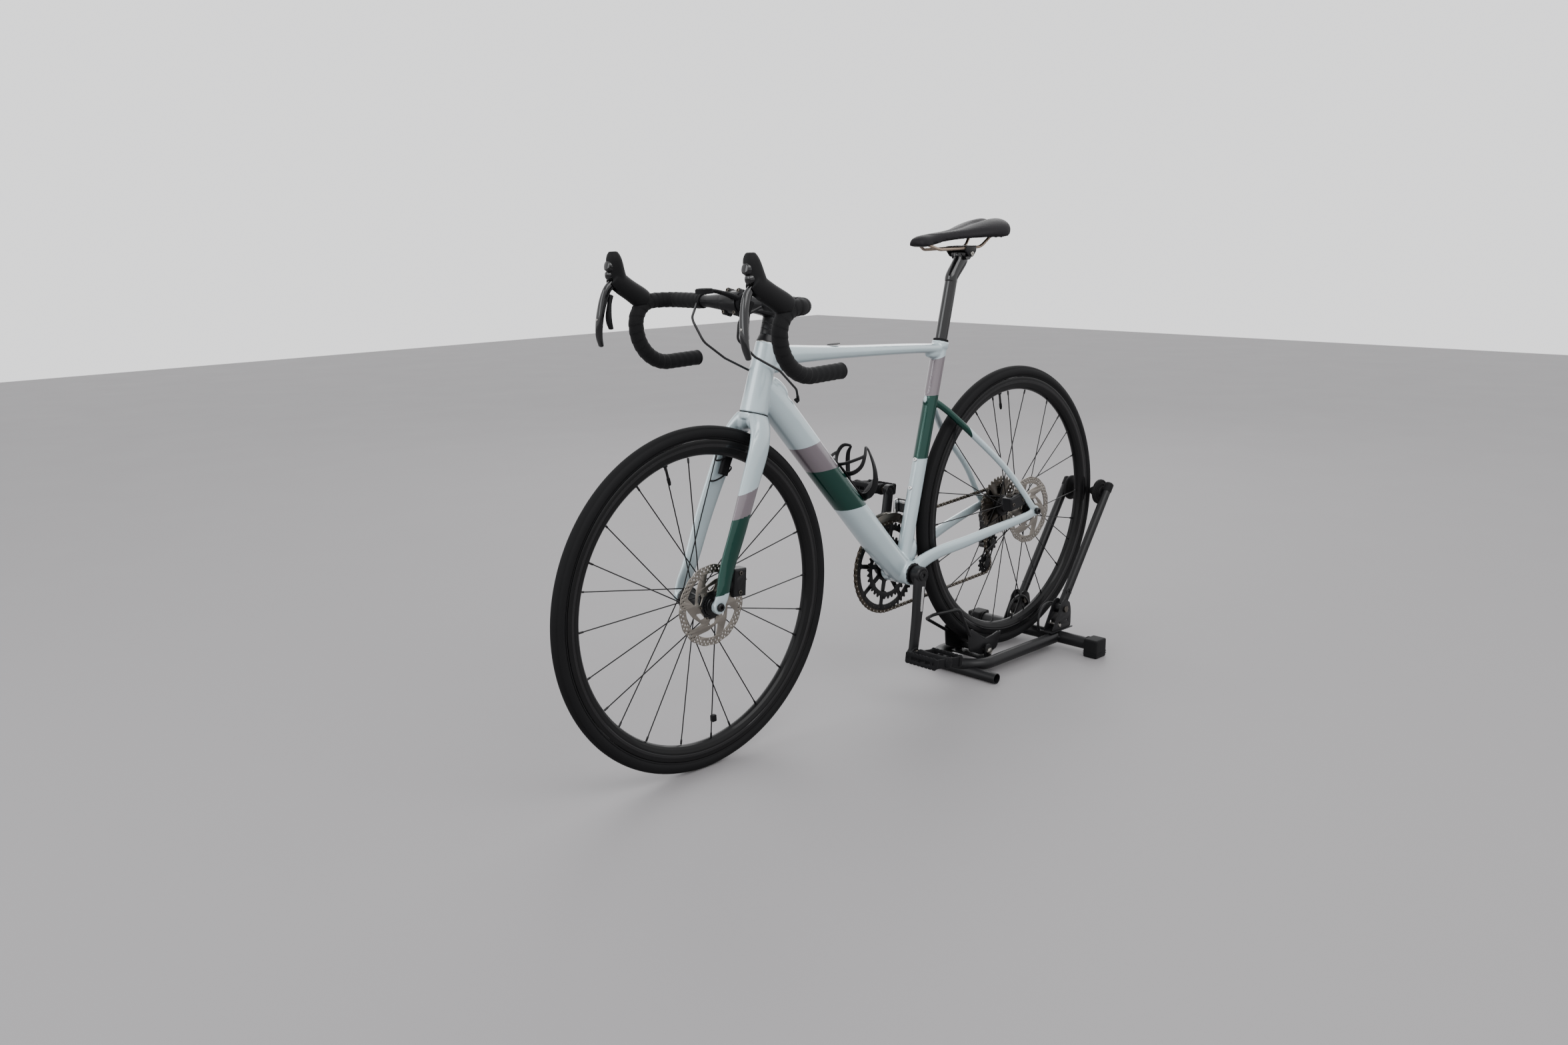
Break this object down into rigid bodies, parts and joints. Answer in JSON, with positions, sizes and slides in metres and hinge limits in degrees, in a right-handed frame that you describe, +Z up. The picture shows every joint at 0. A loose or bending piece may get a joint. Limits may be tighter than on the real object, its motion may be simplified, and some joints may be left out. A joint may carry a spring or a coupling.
{
  "type": "bicycle on stand",
  "caption": "Drop-bar road bicycle with disc brakes, its rear wheel raised in a folding tubular storage stand with padded arms.",
  "frame": {"origin": "on the floor, under the middle of the object's bounding box", "axes": "+X is the bicycle's front, +Y its left side, +Z up"},
  "size_m": [1.6905, 0.44, 1.0528],
  "materials": {
    "frame_paint": "gloss clear coat over pale blue-grey, with purple-grey and metallic green bands",
    "tyre_black": "matt tread",
    "rim_black": "satin carbon composite",
    "hub_black": "black anodised",
    "spoke_steel": "dark",
    "rotor_steel": "brushed",
    "axle_black": "black oxide",
    "bearing_steel": "black seal",
    "carbon_black": "gloss carbon",
    "black_alloy": "satin black anodised",
    "bar_tape_black": "matt, soft",
    "hood_rubber": "matt",
    "lever_black": "gloss",
    "black_plastic": "matt",
    "caliper_black": "satin",
    "pad_compound": "sintered",
    "crank_black": "satin black",
    "ring_black": "dark grey",
    "sprocket_steel": "dark nickel",
    "chain_steel": "bronze grey",
    "saddle_cover": "matt synthetic leather",
    "rail_tan": "satin tan metal",
    "stand_paint": "satin black powder coat",
    "stand_rubber": "matt",
    "cable_black": "satin"
  },
  "bodies": {
    "stand_base": {"stand_base": "stand_paint", "stand_feet": "stand_rubber", "stand_brackets": "stand_paint"},
    "stand_arm_left": {"stand_arm_left": "stand_paint", "stand_pad_left": "stand_rubber"},
    "stand_arm_right": {"stand_arm_right": "stand_paint", "stand_pad_right": "stand_rubber"},
    "stand_cradle": {"stand_cradle": "stand_paint"},
    "bike_frame": {"frame_front_triangle": "frame_paint", "frame_rear_triangle": "frame_paint", "frame_bearings": "bearing_steel", "rear_caliper": "caliper_black", "rear_pads": "pad_compound", "bottle_cage": "black_plastic", "rear_thru_axle": "axle_black", "rd_b_knuckle": "caliper_black", "fd_mount": "caliper_black", "chain": "chain_steel"},
    "seat": {"seatpost": "carbon_black", "saddle_clamp": "black_alloy", "saddle_rails": "rail_tan", "saddle": "saddle_cover"},
    "steering": {"fork": "frame_paint", "headset_spacers": "black_alloy", "stem": "black_alloy", "handlebar": "black_alloy", "bar_tape": "bar_tape_black", "brake_hoods": "hood_rubber", "computer_mount": "black_plastic", "speed_sensor": "black_plastic", "front_caliper": "caliper_black", "front_pads": "pad_compound", "front_thru_axle": "axle_black", "control_cables": "cable_black"},
    "brake_lever_left": {"brake_lever_left": "lever_black"},
    "brake_lever_right": {"brake_lever_right": "lever_black"},
    "shift_paddle_left": {"shift_paddle_left": "lever_black"},
    "shift_paddle_right": {"shift_paddle_right": "lever_black"},
    "front_wheel": {"front_tyre": "tyre_black", "front_rim": "rim_black", "front_hub": "hub_black", "front_spokes": "spoke_steel", "front_rotor": "rotor_steel"},
    "rear_wheel": {"rear_tyre": "tyre_black", "rear_rim": "rim_black", "rear_hub": "hub_black", "rear_spokes": "spoke_steel", "rear_rotor": "rotor_steel"},
    "cassette": {"cassette": "sprocket_steel"},
    "crank": {"crank_arms": "crank_black", "chainrings": "ring_black"},
    "pedal_left": {"pedal_left": "crank_black"},
    "pedal_right": {"pedal_right": "crank_black"},
    "rd_outer_link": {"rd_outer_link": "caliper_black"},
    "rd_inner_link": {"rd_inner_link": "caliper_black"},
    "rd_p_knuckle": {"rd_p_knuckle": "caliper_black"},
    "rd_cage": {"rd_cage": "caliper_black"},
    "rd_guide_pulley": {"rd_guide_pulley": "black_plastic"},
    "rd_tension_pulley": {"rd_tension_pulley": "black_plastic"},
    "fd_cage": {"fd_cage": "caliper_black"}
  },
  "joints": [
    {"name": "bike_lift", "type": "slide", "parent": "stand_base", "child": "bike_frame", "axis": [0, 0, 1], "range_m": [0, 0.3]},
    {"name": "stand_arm_fold_left", "type": "hinge", "parent": "stand_base", "child": "stand_arm_left", "pos_m": [-0.62877, 0.062, 0.095], "axis": [0, -1, 0], "range_deg": [0, 50]},
    {"name": "stand_arm_fold_right", "type": "hinge", "parent": "stand_base", "child": "stand_arm_right", "pos_m": [-0.62877, -0.062, 0.095], "axis": [0, -1, 0], "range_deg": [0, 50]},
    {"name": "cradle_tilt", "type": "hinge", "parent": "stand_base", "child": "stand_cradle", "pos_m": [-0.35577, 0, 0.044], "axis": [0, 1, 0], "range_deg": [0, 8]},
    {"name": "seatpost_slide", "type": "slide", "parent": "bike_frame", "child": "seat", "axis": [-0.2531, 0, 0.9674], "range_m": [-0.05, 0.05]},
    {"name": "steering", "type": "hinge", "parent": "bike_frame", "child": "steering", "pos_m": [0.30989, 0, 0.82204], "axis": [-0.2801, 0, 0.96], "range_deg": [-60, 60], "deforming": ["control_cables"]},
    {"name": "front_wheel_spin", "type": "hinge", "parent": "steering", "child": "front_wheel", "pos_m": [0.50178, 0, 0.34], "axis": [0, 1, 0], "continuous": true},
    {"name": "rear_wheel_spin", "type": "hinge", "parent": "bike_frame", "child": "rear_wheel", "pos_m": [-0.48777, 0, 0.37], "axis": [0, 1, 0], "continuous": true},
    {"name": "crank_spin", "type": "hinge", "parent": "bike_frame", "child": "crank", "pos_m": [-0.08854, 0, 0.28586], "axis": [0, 1, 0], "continuous": true},
    {"name": "cassette_spin", "type": "hinge", "parent": "bike_frame", "child": "cassette", "pos_m": [-0.48777, 0, 0.37], "axis": [0, 1, 0], "continuous": true},
    {"name": "pedal_spin_left", "type": "hinge", "parent": "crank", "child": "pedal_left", "pos_m": [-0.05267, 0.0784, 0.11713], "axis": [0, 1, 0], "continuous": true},
    {"name": "pedal_spin_right", "type": "hinge", "parent": "crank", "child": "pedal_right", "pos_m": [-0.1244, -0.0784, 0.45459], "axis": [0, 1, 0], "continuous": true},
    {"name": "brake_lever_pull_left", "type": "hinge", "parent": "steering", "child": "brake_lever_left", "pos_m": [0.52368, 0.197, 0.94361], "axis": [0, 1, 0], "range_deg": [0, 20], "stiffness_Nm_per_rad": 0.8, "springref_deg": -5.73},
    {"name": "shift_paddle_push_left", "type": "hinge", "parent": "brake_lever_left", "child": "shift_paddle_left", "pos_m": [0.53188, 0.199, 0.91735], "axis": [-0.9995, 0, 0.0303], "range_deg": [0, 12], "stiffness_Nm_per_rad": 0.3, "springref_deg": -5.73},
    {"name": "brake_lever_pull_right", "type": "hinge", "parent": "steering", "child": "brake_lever_right", "pos_m": [0.52368, -0.197, 0.94361], "axis": [0, 1, 0], "range_deg": [0, 20], "stiffness_Nm_per_rad": 0.8, "springref_deg": -5.73},
    {"name": "shift_paddle_push_right", "type": "hinge", "parent": "brake_lever_right", "child": "shift_paddle_right", "pos_m": [0.53188, -0.199, 0.91735], "axis": [0.9995, 0, -0.0303], "range_deg": [0, 12], "stiffness_Nm_per_rad": 0.3, "springref_deg": -5.73},
    {"name": "rear_derailleur_swing", "type": "hinge", "parent": "bike_frame", "child": "rd_outer_link", "pos_m": [-0.48138, -0.068, 0.31678], "axis": [0.9995, 0, -0.0303], "range_deg": [-20, 25], "stiffness_Nm_per_rad": 1.5, "deforming": ["chain"]},
    {"name": "rd_inner_link_swing", "type": "hinge", "parent": "bike_frame", "child": "rd_inner_link", "pos_m": [-0.48147, -0.053, 0.31378], "axis": [0.9995, 0, -0.0303], "range_deg": [-20, 25]},
    {"name": "rd_p_knuckle_swing", "type": "hinge", "parent": "rd_outer_link", "child": "rd_p_knuckle", "pos_m": [-0.48235, -0.086, 0.2848], "axis": [0.9995, 0, -0.0303], "range_deg": [-25, 20]},
    {"name": "rd_cage_swing", "type": "hinge", "parent": "rd_p_knuckle", "child": "rd_cage", "pos_m": [-0.47659, 0, 0.27662], "axis": [0, 1, 0], "range_deg": [-25, 30], "stiffness_Nm_per_rad": 1.2},
    {"name": "guide_pulley_spin", "type": "hinge", "parent": "rd_cage", "child": "rd_guide_pulley", "pos_m": [-0.47659, 0, 0.27662], "axis": [0, 1, 0], "continuous": true},
    {"name": "tension_pulley_spin", "type": "hinge", "parent": "rd_cage", "child": "rd_tension_pulley", "pos_m": [-0.45215, 0, 0.22485], "axis": [0, 1, 0], "continuous": true},
    {"name": "front_derailleur_swing", "type": "hinge", "parent": "bike_frame", "child": "fd_cage", "pos_m": [-0.12404, -0.043, 0.43501], "axis": [0.9995, 0, -0.0303], "range_deg": [0, 6], "stiffness_Nm_per_rad": 1.5}
  ],
  "couplings": [
    {"joint": "cassette_spin", "follows": "crank_spin", "ratio": 2.381},
    {"joint": "guide_pulley_spin", "follows": "crank_spin", "ratio": -4.5455},
    {"joint": "tension_pulley_spin", "follows": "crank_spin", "ratio": 4.5455},
    {"joint": "rd_inner_link_swing", "follows": "rear_derailleur_swing", "ratio": 1},
    {"joint": "rd_p_knuckle_swing", "follows": "rear_derailleur_swing", "ratio": -1}
  ]
}
